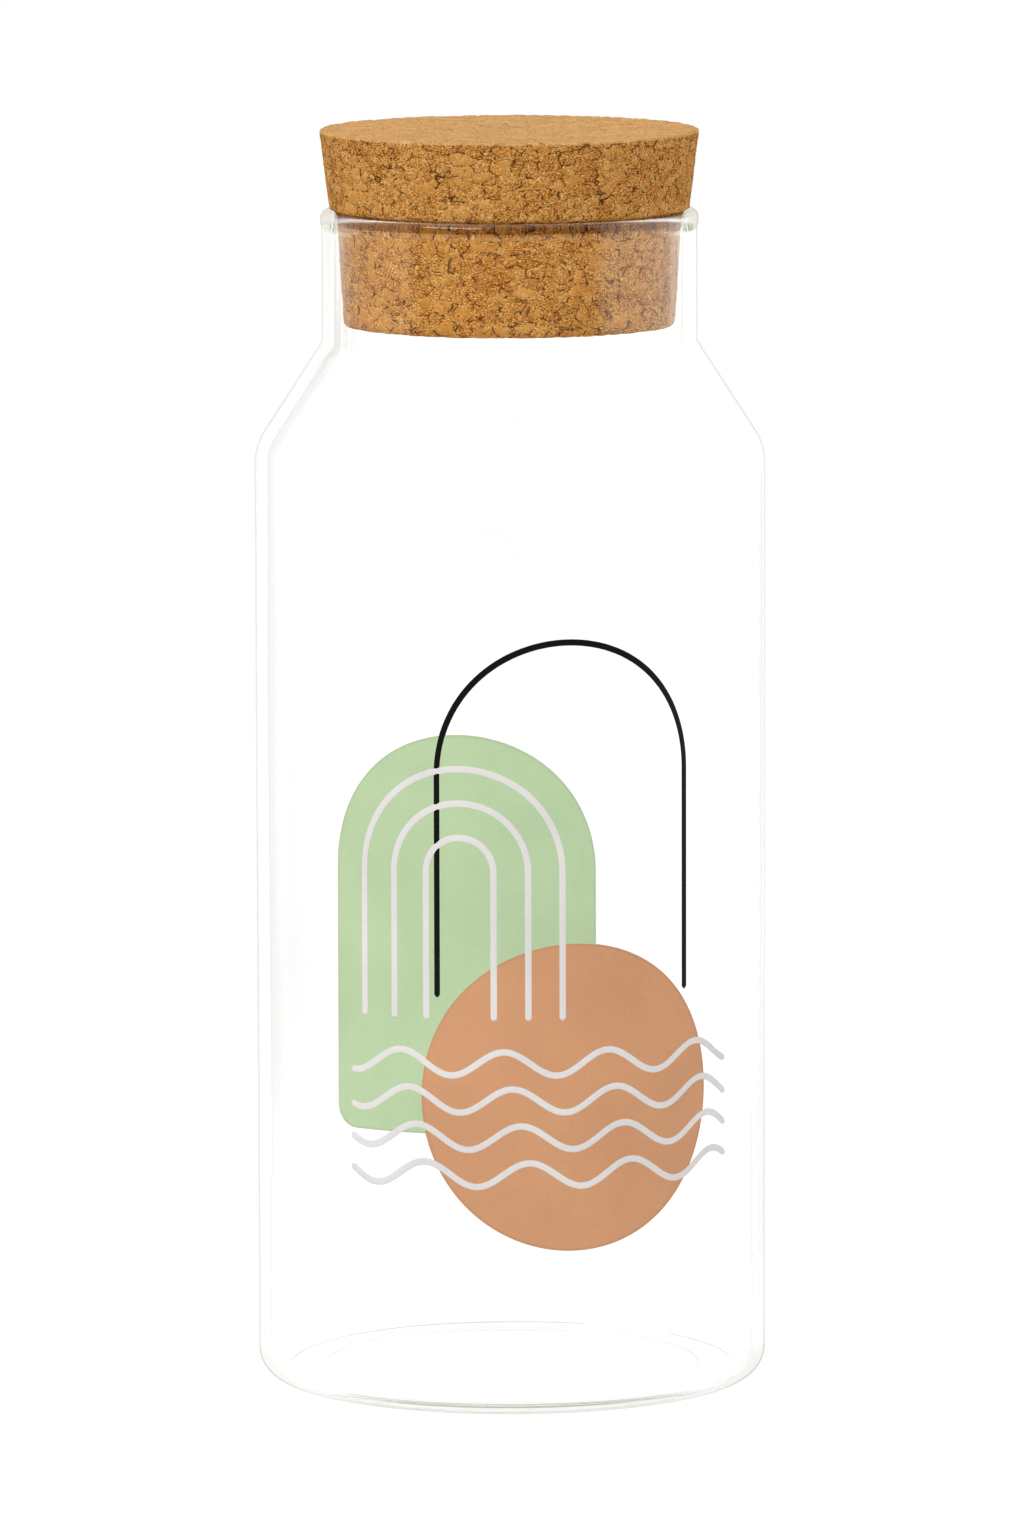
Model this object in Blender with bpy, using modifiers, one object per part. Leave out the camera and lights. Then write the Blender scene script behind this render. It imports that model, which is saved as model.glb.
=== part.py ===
# Glass bottle with a tapered cork stopper, in metres with +Z up.
# The origin is on the bottle's axis, in the plane of the foot ring.
# Both pieces are turned shapes: each has a half section in the XZ plane and a Screw modifier.

import math

import bpy

# Outside of the glass
BODY_RADIUS = 0.045
NECK_RADIUS = 0.033
RIM_HEIGHT = 0.2074
SHOULDER_HEIGHT = 0.1658  # where the straight body would meet the cone
SHOULDER_ANGLE = math.radians(33.0)  # between the cone and the axis
SHOULDER_FILLET = 0.0105
NECK_FILLET = 0.0020
HEEL_RADIUS = 0.0052

# Wall and floor of the glass
WALL = 0.0023
FLOOR = 0.0026
FLOOR_FILLET = 0.0030
FOOT_RING_INNER_RADIUS = 0.033
PUSH_UP = 0.0012  # how far the underside rises inside the foot ring

# Fire-polished lip, a round bead that stands a little proud of the neck
LIP_PROUD = 0.0002
LIP_HEIGHT = 0.0028
LIP_RAMP = 0.0005  # height over which the bead draws back to the neck

# Cork, sized from the bore that it plugs
CORK_HEIGHT = 0.0344
CORK_INSERTION = 0.0202  # from the rim down to the foot of the cork
CORK_TOP_OVERSIZE = 0.00275  # radius at the top, past the bore's
CORK_FOOT_UNDERSIZE = 0.0016  # radius at the foot, short of the bore's
CORK_TOP_EDGE = 0.0004
CORK_FOOT_EDGE = 0.0011
CORK_CLEARANCE = 0.0003  # left between the squeezed cork and the glass

# Facets
STEPS_AROUND = 84
ARC_STEP = math.radians(14.0)  # longest step along an arc of a section
DOME_STEPS = 4

# Derived sizes
BORE_RADIUS = NECK_RADIUS - WALL
INSIDE_RADIUS = BODY_RADIUS - WALL
LIP_ROUND = 0.5 * (WALL + LIP_PROUD)  # half the width of the bead
NECK_FOOT_HEIGHT = SHOULDER_HEIGHT + (BODY_RADIUS - NECK_RADIUS) / math.tan(SHOULDER_ANGLE)
# A wall of even thickness moves each bend of the inside down by this much
INSIDE_DROP = WALL * math.tan(0.5 * SHOULDER_ANGLE)
CORK_FOOT_HEIGHT = RIM_HEIGHT - CORK_INSERTION


def clear_objects():
    for item in list(bpy.data.objects):
        bpy.data.objects.remove(item, do_unlink=True)


def make_collection(name):
    collection = bpy.data.collections.new(name)
    bpy.context.scene.collection.children.link(collection)
    return collection


def make_material(name, colour, roughness, metallic=0.0, transmission=0.0, ior=1.5):
    material = bpy.data.materials.new(name)
    material.use_nodes = True
    shader = material.node_tree.nodes["Principled BSDF"]
    shader.inputs["Base Color"].default_value = (*colour, 1.0)
    shader.inputs["Roughness"].default_value = roughness
    shader.inputs["Metallic"].default_value = metallic
    shader.inputs["Transmission Weight"].default_value = transmission
    shader.inputs["IOR"].default_value = ior
    material.diffuse_color = (*colour, 1.0)
    return material


def arc(centre, radius, start, end):
    """Points from angle start to angle end, both included, in steps of at most ARC_STEP."""
    steps = max(2, math.ceil(abs(end - start) / ARC_STEP))
    points = []
    for index in range(steps + 1):
        angle = start + (end - start) * index / steps
        points.append((centre[0] + radius * math.cos(angle), centre[1] + radius * math.sin(angle)))
    return points


def fillet(before, corner, after, radius):
    """Points of the arc that rounds a corner between two straight stretches."""
    to_before = (before[0] - corner[0], before[1] - corner[1])
    to_after = (after[0] - corner[0], after[1] - corner[1])
    before_length = math.hypot(*to_before)
    after_length = math.hypot(*to_after)
    before_way = (to_before[0] / before_length, to_before[1] / before_length)
    after_way = (to_after[0] / after_length, to_after[1] / after_length)
    half_angle = 0.5 * math.acos(before_way[0] * after_way[0] + before_way[1] * after_way[1])
    middle = (before_way[0] + after_way[0], before_way[1] + after_way[1])
    middle_length = math.hypot(*middle)
    reach = radius / math.sin(half_angle)
    centre = (corner[0] + middle[0] / middle_length * reach, corner[1] + middle[1] / middle_length * reach)
    setback = radius / math.tan(half_angle)
    first = (corner[0] + before_way[0] * setback, corner[1] + before_way[1] * setback)
    last = (corner[0] + after_way[0] * setback, corner[1] + after_way[1] * setback)
    start = math.atan2(first[1] - centre[1], first[0] - centre[0])
    turn = math.atan2(last[1] - centre[1], last[0] - centre[0]) - start
    turn = math.remainder(turn, 2.0 * math.pi)
    return arc(centre, radius, start, start + turn)


def dome(radius, edge_height, rise):
    """Points of a shallow arc from the axis out to radius, rise higher at the axis than at its edge."""
    sphere_radius = (radius**2 + rise**2) / (2.0 * rise)
    spread = math.asin(radius / sphere_radius)
    centre = (0.0, edge_height + rise - sphere_radius)
    points = []
    for index in range(DOME_STEPS + 1):
        angle = spread * index / DOME_STEPS
        points.append((sphere_radius * math.sin(angle), centre[1] + sphere_radius * math.cos(angle)))
    points[0] = (0.0, edge_height + rise)
    return points


def turned_piece(name, section, foot_height, material, collection):
    """Turns a half section, given as (radius, height) points, once round the Z axis."""
    mesh = bpy.data.meshes.new(name)
    vertices = [(radius, 0.0, height - foot_height) for radius, height in section]
    edges = [(index, index + 1) for index in range(len(section) - 1)]
    mesh.from_pydata(vertices, edges, [])
    mesh.materials.append(material)
    piece = bpy.data.objects.new(name, mesh)
    piece.location = (0.0, 0.0, foot_height)
    collection.objects.link(piece)
    turn = piece.modifiers.new("Turn", "SCREW")
    turn.axis = "Z"
    turn.angle = 2.0 * math.pi
    turn.screw_offset = 0.0
    turn.steps = STEPS_AROUND
    turn.render_steps = STEPS_AROUND
    turn.use_merge_vertices = True
    turn.merge_threshold = 0.00001
    turn.use_smooth_shade = True
    return piece


def inside_section():
    """The inside of the glass, from the middle of the floor up to the foot of the lip."""
    floor_corner = (INSIDE_RADIUS, FLOOR)
    shoulder_corner = (INSIDE_RADIUS, SHOULDER_HEIGHT - INSIDE_DROP)
    neck_corner = (BORE_RADIUS, NECK_FOOT_HEIGHT - INSIDE_DROP)
    lip_foot = (BORE_RADIUS, RIM_HEIGHT - LIP_ROUND)
    floor_edge = (FOOT_RING_INNER_RADIUS, FLOOR)
    points = dome(FOOT_RING_INNER_RADIUS, FLOOR, PUSH_UP)
    points += fillet(floor_edge, floor_corner, shoulder_corner, FLOOR_FILLET)
    points += fillet(floor_corner, shoulder_corner, neck_corner, SHOULDER_FILLET - WALL)
    points += fillet(shoulder_corner, neck_corner, lip_foot, NECK_FILLET + WALL)
    return points


def lip_section():
    """The bead, over its top from the bore to the outside of the neck."""
    centre = (BORE_RADIUS + LIP_ROUND, RIM_HEIGHT - LIP_ROUND)
    top = 0.5 * math.pi
    points = arc(centre, LIP_ROUND, math.pi, top) + arc(centre, LIP_ROUND, top, 0.0)[1:]
    bead_radius = NECK_RADIUS + LIP_PROUD
    bead_foot = RIM_HEIGHT - LIP_HEIGHT
    points.append((bead_radius, bead_foot + LIP_RAMP))
    points.append((NECK_RADIUS, bead_foot))
    return points


def outside_section():
    """The outside of the glass, from the neck down to the middle of the underside."""
    lip_foot = (NECK_RADIUS, RIM_HEIGHT - LIP_HEIGHT)
    neck_corner = (NECK_RADIUS, NECK_FOOT_HEIGHT)
    shoulder_corner = (BODY_RADIUS, SHOULDER_HEIGHT)
    heel_corner = (BODY_RADIUS, 0.0)
    ring_edge = (FOOT_RING_INNER_RADIUS, 0.0)
    points = fillet(lip_foot, neck_corner, shoulder_corner, NECK_FILLET)
    points += fillet(neck_corner, shoulder_corner, heel_corner, SHOULDER_FILLET)
    points += fillet(shoulder_corner, heel_corner, ring_edge, HEEL_RADIUS)
    points += reversed(dome(FOOT_RING_INNER_RADIUS, 0.0, PUSH_UP))
    return points


def build_glass(collection):
    material = make_material("Clear glass", (0.95, 0.97, 0.96), 0.03, transmission=1.0, ior=1.47)
    section = inside_section() + lip_section() + outside_section()
    return turned_piece("glass_bottle", section, 0.0, material, collection)


def cork_section():
    """The cork pushed home: its own taper above the lip and low in the neck, squeezed between."""
    foot_radius = BORE_RADIUS - CORK_FOOT_UNDERSIZE
    top_radius = BORE_RADIUS + CORK_TOP_OVERSIZE
    top_height = CORK_FOOT_HEIGHT + CORK_HEIGHT
    slope = (top_radius - foot_radius) / CORK_HEIGHT
    squeezed_radius = BORE_RADIUS - CORK_CLEARANCE
    squeezed_from = CORK_FOOT_HEIGHT + (squeezed_radius - foot_radius) / slope

    # Over the lip the cork follows the bead at the same clearance, up to where its own taper starts
    bead_centre = (BORE_RADIUS + LIP_ROUND, RIM_HEIGHT - LIP_ROUND)
    follow_radius = LIP_ROUND + CORK_CLEARANCE
    inset = foot_radius + slope * (bead_centre[1] - CORK_FOOT_HEIGHT) - bead_centre[0]
    square = 1.0 + slope**2
    rise = (math.sqrt(square * follow_radius**2 - inset**2) - inset * slope) / square
    taper_angle = math.atan2(rise, inset + slope * rise)
    over_lip = arc(bead_centre, follow_radius, taper_angle, math.pi)

    top_corner = (top_radius, top_height)
    foot_corner = (foot_radius, CORK_FOOT_HEIGHT)
    points = [(0.0, top_height)]
    points += fillet((0.0, top_height), top_corner, over_lip[0], CORK_TOP_EDGE)
    points += over_lip
    points.append((squeezed_radius, squeezed_from))
    points += fillet((squeezed_radius, squeezed_from), foot_corner, (0.0, CORK_FOOT_HEIGHT), CORK_FOOT_EDGE)
    points.append((0.0, CORK_FOOT_HEIGHT))
    return points


def build_cork(collection):
    material = make_material("Pressed cork", (0.45, 0.20, 0.055), 0.85)
    return turned_piece("cork_stopper", cork_section(), CORK_FOOT_HEIGHT, material, collection)


clear_objects()
bottle_collection = make_collection("Glass bottle")
build_glass(bottle_collection)
build_cork(bottle_collection)
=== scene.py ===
import math

import bpy
import numpy as np
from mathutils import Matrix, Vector


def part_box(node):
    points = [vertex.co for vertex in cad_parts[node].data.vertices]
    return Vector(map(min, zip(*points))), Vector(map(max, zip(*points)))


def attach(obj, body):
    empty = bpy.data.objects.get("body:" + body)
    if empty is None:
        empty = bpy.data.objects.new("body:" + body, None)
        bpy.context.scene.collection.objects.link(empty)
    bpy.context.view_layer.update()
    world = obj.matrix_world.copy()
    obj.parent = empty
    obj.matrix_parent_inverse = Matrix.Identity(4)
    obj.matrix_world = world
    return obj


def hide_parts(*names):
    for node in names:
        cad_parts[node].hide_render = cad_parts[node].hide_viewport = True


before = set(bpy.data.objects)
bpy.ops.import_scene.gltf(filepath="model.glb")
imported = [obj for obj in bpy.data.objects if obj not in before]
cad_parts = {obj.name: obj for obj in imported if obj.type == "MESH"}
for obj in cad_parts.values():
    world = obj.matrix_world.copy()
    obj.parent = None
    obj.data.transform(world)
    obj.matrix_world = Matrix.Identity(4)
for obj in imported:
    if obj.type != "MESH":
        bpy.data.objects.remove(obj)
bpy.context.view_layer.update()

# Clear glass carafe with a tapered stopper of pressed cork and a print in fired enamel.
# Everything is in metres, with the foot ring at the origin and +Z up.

glassLow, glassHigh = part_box("glass_bottle")
corkLow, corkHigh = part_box("cork_stopper")


# Shared helpers for meshes

def makeObject(name, mesh, material, body):
    mesh.materials.append(material)
    mesh.shade_smooth()
    piece = bpy.data.objects.new(name, mesh)
    bpy.context.scene.collection.objects.link(piece)
    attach(piece, body)
    return piece


def gridMesh(name, grid, poles):
    # Points stand in rows along the shape, and the columns close round it. Each face joins
    # row i to row i + 1, and the first and last rows close on their poles.
    rows, columns = grid.shape[:2]
    index = np.arange(rows * columns).reshape(rows, columns)
    here, there = index[:-1], index[1:]
    faces = np.stack([here, there, np.roll(there, -1, axis=1), np.roll(here, -1, axis=1)], axis=-1)
    faces = faces.reshape(-1, 4).tolist()
    first = np.full(columns, rows * columns)
    faces += np.stack([first, index[0], np.roll(index[0], -1)], axis=-1).tolist()
    faces += np.stack([index[-1], first + 1, np.roll(index[-1], -1)], axis=-1).tolist()
    mesh = bpy.data.meshes.new(name)
    mesh.from_pydata(np.vstack([grid.reshape(-1, 3), poles]), [], faces)
    mesh.validate()
    return mesh


def unit(vectors):
    # v / |v|
    return vectors / np.linalg.norm(vectors, axis=-1, keepdims=True)


def arcPoints(centre, radius, start, end, count):
    # (cx + r cos t, cy + r sin t) for t from start to end
    turn = np.linspace(start, end, count)
    return np.column_stack([centre[0] + radius * np.cos(turn), centre[1] + radius * np.sin(turn)])


def roundCorner(before, corner, after, radius, count):
    # Arc of the given radius that touches both straight stretches that meet at the corner:
    # its centre lies on their bisector, radius / sin(half angle) away from the corner.
    before, corner, after = (np.array(point, float) for point in (before, corner, after))
    toBefore = unit(before - corner)
    toAfter = unit(after - corner)
    half = 0.5 * math.acos(float(toBefore @ toAfter))
    centre = corner + unit(toBefore + toAfter) * radius / math.sin(half)
    first = corner + toBefore * radius / math.tan(half) - centre
    last = corner + toAfter * radius / math.tan(half) - centre
    start = math.atan2(first[1], first[0])
    turn = math.remainder(math.atan2(last[1], last[0]) - start, 2 * math.pi)
    return arcPoints(centre, radius, start, start + turn, count)


def roundCorners(corners, rounds):
    # The path through the corners, each but the two ends rounded by its (radius, points)
    joints = zip(corners, corners[1:], corners[2:], rounds)
    return np.vstack([roundCorner(*corner, *rounding) for *corner, rounding in joints])


def travelled(path):
    # Distance along the path up to each of its points
    return np.concatenate([[0.0], np.cumsum(np.linalg.norm(np.diff(path, axis=0), axis=1))])


def pointsAt(path, along, wanted):
    # Points at the wanted distances, straight between those of the path
    return np.column_stack([np.interp(wanted, along, path[:, axis]) for axis in (0, 1)])


def evenSteps(path, step):
    # The same path with its points at even distances of about one step, ends kept.
    along = travelled(path)
    keep = np.diff(along, prepend=-1.0) > 1e-9
    wanted = np.linspace(0.0, along[-1], max(2, math.ceil(along[-1] / step)) + 1)
    return pointsAt(path[keep], along[keep], wanted)


def fillStraights(section, step):
    # Adds points on the long straight stretches of a section: two close to each end, which keep
    # the shading of a bend out of the stretch, and one at every step between.
    along = travelled(section)
    isLong = np.diff(along) > step
    even = np.arange(0.0, along[-1], step)
    even = even[isLong[np.searchsorted(along, even, side="right") - 1]]
    margins = np.array([[0.0002], [0.0010]])
    marks = [along, (along[:-1][isLong] + margins).ravel(), (along[1:][isLong] - margins).ravel(), even]
    marks = np.unique(np.concatenate(marks))
    marks = marks[np.diff(marks, append=np.inf) > 1e-6]
    return pointsAt(section, along, marks)


def turnSection(section, around):
    # (r cos t, r sin t, z): each point of the half section goes once round the Z axis.
    turn = np.linspace(0.0, 2 * math.pi, around, endpoint=False)
    radius, height = section[:, :1], section[:, 1:]
    return np.stack([radius * np.cos(turn), radius * np.sin(turn), height + 0.0 * turn], axis=-1)


# Shared helpers for node trees

def feed(tree, socket, value):
    # Links a socket or sets a plain value. A plain colour gets its alpha here.
    if isinstance(value, bpy.types.NodeSocket):
        tree.links.new(value, socket)
    elif value is not None:
        socket.default_value = (*value, 1.0) if socket.type == "RGBA" else value


def feedAll(tree, node, inputs):
    # Inputs go by name or by number
    for socket, value in inputs.items():
        feed(tree, node.inputs[socket], value)
    return node


def addNode(tree, kind, inputs):
    return feedAll(tree, tree.nodes.new(kind), inputs)


def mathNode(tree, operation, first, *others):
    # One node for each further value: ((first op second) op third)
    for second in others:
        node = tree.nodes.new("ShaderNodeMath")
        node.operation = operation
        first = feedAll(tree, node, {0: first, 1: second}).outputs[0]
    return first


def product(tree, *values):
    return mathNode(tree, "MULTIPLY", *values)


def oneMinus(tree, value):
    return mathNode(tree, "SUBTRACT", 1.0, value)


def absolute(tree, value):
    return mathNode(tree, "ABSOLUTE", value, None)


def rangeNode(tree, value, low, high, toLow=0.0, toHigh=1.0):
    # Goes smoothly from toLow at low to toHigh at high, and stays there past them.
    node = tree.nodes.new("ShaderNodeMapRange")
    node.interpolation_type = "SMOOTHSTEP"
    limits = {"From Min": low, "From Max": high, "To Min": toLow, "To Max": toHigh}
    return feedAll(tree, node, {"Value": value, **limits}).outputs["Result"]


def bandNode(tree, value, rise, fall):
    # Goes from 0 to 1 over the first pair of values, and back to 0 over the second
    return product(tree, rangeNode(tree, value, *rise), rangeNode(tree, value, *fall, 1.0, 0.0))


def vectorNode(tree, operation, *values):
    node = tree.nodes.new("ShaderNodeVectorMath")
    node.operation = operation
    outputs = feedAll(tree, node, dict(enumerate(values))).outputs
    return outputs["Value" if operation == "LENGTH" else "Vector"]


def splitNode(tree, vector):
    return addNode(tree, "ShaderNodeSeparateXYZ", {0: vector}).outputs


def noiseNode(tree, place, wave, detail=2.0, rough=0.5, output="Fac"):
    inputs = {"Vector": place, "Scale": 1.0 / wave, "Detail": detail, "Roughness": rough}
    return addNode(tree, "ShaderNodeTexNoise", inputs).outputs[output]


def cellNode(tree, place, width, feature):
    node = tree.nodes.new("ShaderNodeTexVoronoi")
    node.feature = feature
    return feedAll(tree, node, {"Vector": place, "Scale": 1.0 / width}).outputs


def mixColour(tree, factor, first, second, blend="MIX"):
    node = tree.nodes.new("ShaderNodeMix")
    node.data_type = "RGBA"
    node.blend_type = blend
    return feedAll(tree, node, {0: factor, 6: first, 7: second}).outputs[2]


def rampNode(tree, factor, stops):
    node = tree.nodes.new("ShaderNodeValToRGB")
    ramp = node.color_ramp
    while len(ramp.elements) < len(stops):
        ramp.elements.new(0.5)
    for element, (place, colour) in zip(ramp.elements, stops):
        element.position = place
        element.color = (*colour, 1.0)
    return feedAll(tree, node, {"Fac": factor}).outputs["Color"]


def bumpNode(tree, height, distance):
    return addNode(tree, "ShaderNodeBump", {"Height": height, "Distance": distance}).outputs["Normal"]


def mixShaders(tree, share, first, second):
    inputs = {0: share, 1: first.outputs[0], 2: second.outputs[0]}
    return addNode(tree, "ShaderNodeMixShader", inputs)


def newGroup(name, inputs, outputs):
    # Shader node group with its named inputs and outputs, given as {name: kind of socket}
    group = bpy.data.node_groups.new(name, "ShaderNodeTree")
    for way, sockets in (("INPUT", inputs), ("OUTPUT", outputs)):
        for socket, kind in sockets.items():
            group.interface.new_socket(socket, in_out=way, socket_type="NodeSocket" + kind)
    return group, group.nodes.new("NodeGroupInput").outputs, group.nodes.new("NodeGroupOutput")


def groupNode(tree, group, inputs):
    node = tree.nodes.new("ShaderNodeGroup")
    node.node_tree = group
    return feedAll(tree, node, inputs).outputs


def newMaterial(name):
    material = bpy.data.materials.new(name)
    material.use_nodes = True
    tree = material.node_tree
    tree.nodes.clear()
    shader = tree.nodes.new("ShaderNodeBsdfPrincipled")
    output = addNode(tree, "ShaderNodeOutputMaterial", {"Surface": shader.outputs[0]})
    return material, tree, shader, output


def objectPlace(tree):
    return tree.nodes.new("ShaderNodeTexCoord").outputs["Object"]


def attributeNode(tree, name):
    node = tree.nodes.new("ShaderNodeAttribute")
    node.attribute_name = name
    return node.outputs["Fac"]


# Camera, fitted to the cork's and the foot's ellipses in the photo

view = {
    "place": (0.00085, -2.0269, 0.37363),
    "pitch": 0.1301,                  # looking down, in radians
    "roll": 0.00233,
    "lens": 271.2,
    "sensor": 36.0,                   # height of the frame on the sensor, in mm
    "near": 0.01,
    "far": 100.0,
}


def setCamera():
    lens = bpy.data.cameras.new("Camera")
    lens.sensor_fit = "VERTICAL"
    lens.sensor_height = view["sensor"]
    lens.sensor_width = view["sensor"]
    lens.lens = view["lens"]
    lens.clip_start = view["near"]
    lens.clip_end = view["far"]
    camera = bpy.data.objects.new("Camera", lens)
    camera.location = view["place"]
    camera.rotation_euler = (math.pi / 2 - view["pitch"], view["roll"], 0.0)
    bpy.context.scene.collection.objects.link(camera)
    bpy.context.scene.camera = camera


# White room with a softer ceiling, a pale floor and two softboxes

studio = {
    "fill": 0.72,                     # level of the room's own light on the object
    "backdrop": 1.12,                 # what glass sees behind it, past 1 so that it stays white
    "leftBack": 1.01,                 # and at the left and right of that
    "rightBack": 1.45,
    "backAcross": (0.06, 0.22),       # how far sideways (along X) these start and are full
    "ceiling": 0.25,                  # what glass sees overhead, against 1 at the sides
    "ceilingUp": (0.55, 0.85),        # sines of the heights where it starts and is full
    "front": 0.08,                    # what a reflection shows on the camera's side of the room
    "frontAlong": (-0.50, -0.35),     # how far forwards (along Y) it is full and starts
    "sides": 0.45,                    # and of the room square to the left and right
    "sidesAcross": (0.72, 0.92),
    "frontDepth": 3.5,                # light turned more often sees neither of the two
    "floorRadius": 1.2,
    "floorDrop": 0.0001,
    "floorColour": (0.80, 0.80, 0.79),
    "floorRoughness": 0.9,
    "floorGlow": 0.84,                # lifts the lit floor to the white of the backdrop
    "floorShade": 0.30,               # how much of the shadow it keeps
    "melt": (0.22, 0.60),             # distances over which it melts into the backdrop
    "softboxes": [
        # name, centre, width, height, brightness against the white backdrop, height that it aims at
        ("Right softbox", (0.85, 0.0, 0.66), 1.19, 1.28, 0.35, 0.66),
        ("Upper left softbox", (-0.75, -0.85, 1.25), 0.9, 0.7, 5.1, 0.13),
    ],
}


def seesBackdrop(tree):
    # 1 for rays from the camera and for those that mirror or pass through glass, 0 for the rest
    path = tree.nodes.new("ShaderNodeLightPath").outputs
    return mathNode(tree, "MAXIMUM", path["Is Camera Ray"], path["Is Glossy Ray"],
                    path["Is Transmission Ray"])


def roomLevel():
    # Node group for the world and the far floor: how bright the white room is in a direction.
    # The camera sees plain white. Glass sees a little more, most of it at the right, and a darker
    # ceiling. What the glass mirrors is also darker at both sides and behind the camera.
    sockets = {"Direction": "Vector", "Seen directly": "Float", "Mirrored": "Float"}
    room, given, made = newGroup("Room level", sockets, {"Level": "Float"})
    x, y, z = splitNode(room, given["Direction"])
    start, full = studio["backAcross"]
    atLeft = rangeNode(room, x, -full, -start, studio["leftBack"] - studio["backdrop"], 0.0)
    atRight = rangeNode(room, x, start, full, studio["backdrop"], studio["rightBack"])
    overhead = rangeNode(room, z, *studio["ceilingUp"], 1.0, studio["ceiling"])
    forwards = rangeNode(room, y, *studio["frontAlong"], 1.0 - studio["front"], 0.0)
    sideways = rangeNode(room, absolute(room, x), *studio["sidesAcross"], 0.0, 1.0 - studio["sides"])
    dimmed = product(room, mathNode(room, "MAXIMUM", forwards, sideways), given["Mirrored"])
    level = product(room, mathNode(room, "ADD", atLeft, atRight), overhead, oneMinus(room, dimmed))
    plain = addNode(room, "ShaderNodeMix", {0: given["Seen directly"], 2: level, 3: 1.0})
    feed(room, made.inputs["Level"], plain.outputs[0])
    return room


def addRoomLevel(tree, room, direction, offset):
    # Light counts as mirrored where fewer of its turns are transmissions than all of them
    # together, as long as it has been turned only a few times. The world counts one turn more
    # than a surface does, which the offset takes care of.
    path = tree.nodes.new("ShaderNodeLightPath").outputs
    turns = mathNode(tree, "SUBTRACT", path["Ray Depth"], offset)
    reflections = mathNode(tree, "SUBTRACT", turns, path["Transmission Depth"])
    mirrored = product(tree, mathNode(tree, "GREATER_THAN", reflections, 0.5),
                       mathNode(tree, "LESS_THAN", turns, studio["frontDepth"]))
    inputs = {"Direction": direction, "Seen directly": path["Is Camera Ray"], "Mirrored": mirrored}
    return groupNode(tree, room, inputs)["Level"]


def setWorld(room):
    world = bpy.data.worlds.new("White room")
    bpy.context.scene.world = world
    world.use_nodes = True
    tree = world.node_tree
    tree.nodes.clear()
    direction = tree.nodes.new("ShaderNodeTexCoord").outputs["Generated"]
    level = addRoomLevel(tree, room, direction, 1.0)
    fill, shown = (addNode(tree, "ShaderNodeBackground", {"Color": (1, 1, 1), "Strength": strength})
                   for strength in (studio["fill"], level))
    mix = mixShaders(tree, seesBackdrop(tree), fill, shown)
    addNode(tree, "ShaderNodeOutputWorld", {"Surface": mix.outputs[0]})


def setFloor(room):
    # Near the object the floor is lit and shaded; away from it, it melts into the white backdrop
    bpy.ops.mesh.primitive_circle_add(vertices=96, radius=studio["floorRadius"], fill_type="NGON")
    floor = bpy.context.object
    floor.name = "floor"
    floor.location.z = -studio["floorDrop"]
    material, tree, shader, output = newMaterial("Pale floor")
    feedAll(tree, shader, {"Base Color": studio["floorColour"], "Roughness": studio["floorRoughness"],
                           "Specular IOR Level": 0.0})
    shaded = [studio["floorShade"] * part for part in studio["floorColour"]]
    lit = addNode(tree, "ShaderNodeBsdfDiffuse", {"Color": shaded})
    glow = addNode(tree, "ShaderNodeEmission", {"Strength": studio["floorGlow"]})
    near = addNode(tree, "ShaderNodeAddShader", {0: lit.outputs[0], 1: glow.outputs[0]})
    place = objectPlace(tree)
    level = addRoomLevel(tree, room, vectorNode(tree, "NORMALIZE", place), 0.0)
    white = addNode(tree, "ShaderNodeEmission", {"Strength": level})
    melt = rangeNode(tree, vectorNode(tree, "LENGTH", place), *studio["melt"])
    mix = mixShaders(tree, seesBackdrop(tree), shader, mixShaders(tree, melt, near, white))
    feed(tree, output.inputs["Surface"], mix.outputs[0])
    floor.data.materials.append(material)


def setLamps():
    for name, centre, width, height, brightness, aimHeight in studio["softboxes"]:
        lamp = bpy.data.lights.new(name, "AREA")
        lamp.shape = "RECTANGLE"
        lamp.size = width
        lamp.size_y = height
        lamp.energy = brightness * math.pi * width * height
        holder = bpy.data.objects.new(name, lamp)
        holder.location = centre
        toAim = Vector((-centre[0], -centre[1], aimHeight - centre[2]))
        holder.rotation_euler = toAim.to_track_quat("-Z", "Y").to_euler()
        holder.visible_camera = False
        bpy.context.scene.collection.objects.link(holder)


# Glass bottle. Its tints are painted shade and painted refraction. Each tint has a slant, 0 square on
# and 1 at a grazing angle, where it starts and one where it is full. "Foot" and "Top" are the heights
# over which it sets in and ends.

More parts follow.
